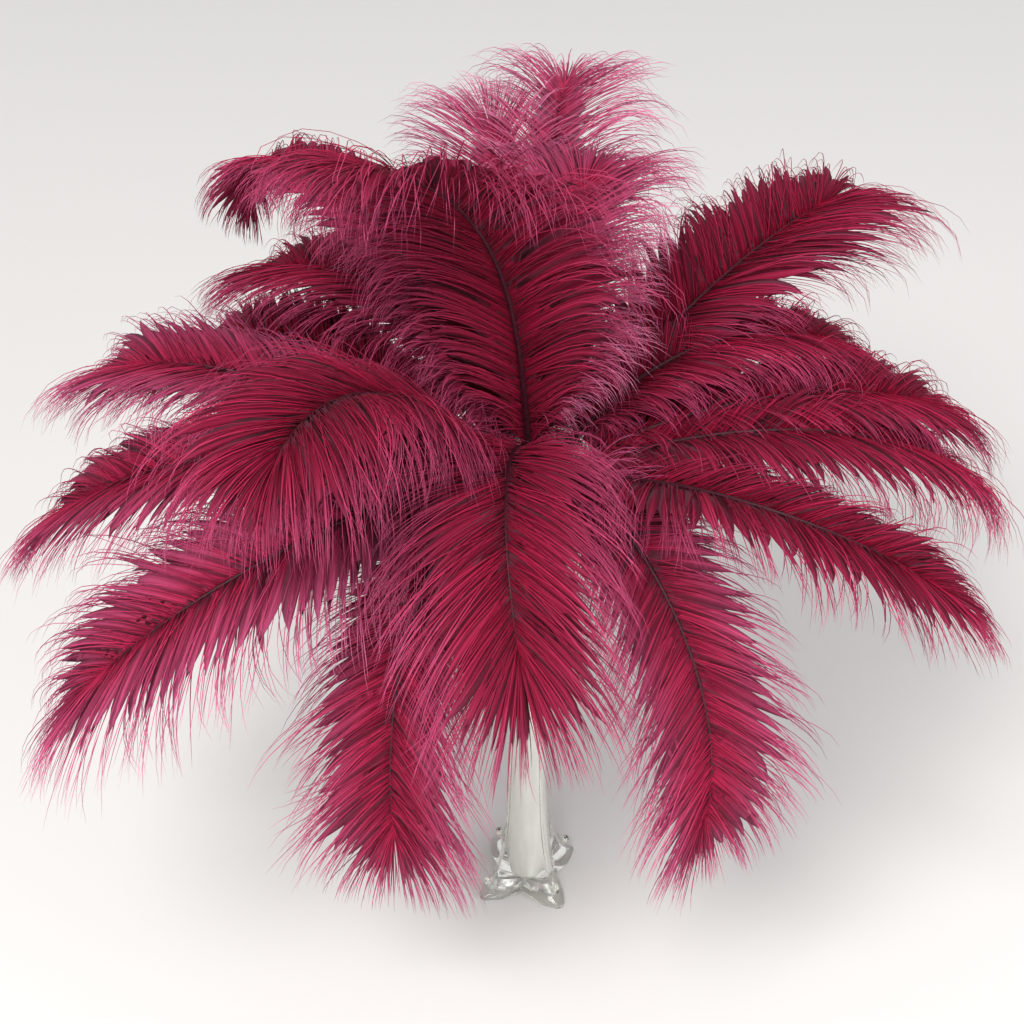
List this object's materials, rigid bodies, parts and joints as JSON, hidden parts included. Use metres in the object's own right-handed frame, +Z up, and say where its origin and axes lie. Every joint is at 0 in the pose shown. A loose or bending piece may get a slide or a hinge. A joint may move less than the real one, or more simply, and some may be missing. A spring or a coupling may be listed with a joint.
{
  "type": "ostrich feather bouquet in a glass vase",
  "caption": "Dyed ostrich plumes with drooping vanes, fanned out of the trumpet mouth of a tall white-cored clear glass vase on pulled feet.",
  "frame": {"origin": "centre of the flat underside of the vase, on the table", "axes": "+Z up along the vase; the bouquet's front, where its lowest plumes hang, faces -Y"},
  "size_m": [0.8302, 0.6455, 0.8533],
  "materials": {
    "dyed_barbs": "soft dyed plume, satin sheen",
    "milk_glass": "glossy opaque white glass",
    "clear_glass": "clear polished glass"
  },
  "bodies": {
    "root": {"vase_clear_casing": "clear_glass", "vase_white_core": "milk_glass", "feather_crown_back_mid": "dyed_barbs", "feather_crown_back_right": "dyed_barbs", "feather_crown_back_left": "dyed_barbs", "feather_back_left_low": "dyed_barbs", "feather_back_left_curl": "dyed_barbs", "feather_left_front": "dyed_barbs", "feather_front": "dyed_barbs", "feather_crown_front": "dyed_barbs", "feather_right_upper": "dyed_barbs", "feather_right_arc": "dyed_barbs", "feather_upper_right": "dyed_barbs", "feather_back_right": "dyed_barbs", "feather_back_mid": "dyed_barbs", "feather_back_left": "dyed_barbs", "feather_left_upper": "dyed_barbs", "feather_left_far": "dyed_barbs", "feather_left_side": "dyed_barbs", "feather_left_low": "dyed_barbs", "feather_front_left": "dyed_barbs", "feather_front_right": "dyed_barbs", "feather_right_low": "dyed_barbs", "feather_right_lower": "dyed_barbs"}
  },
  "joints": []
}
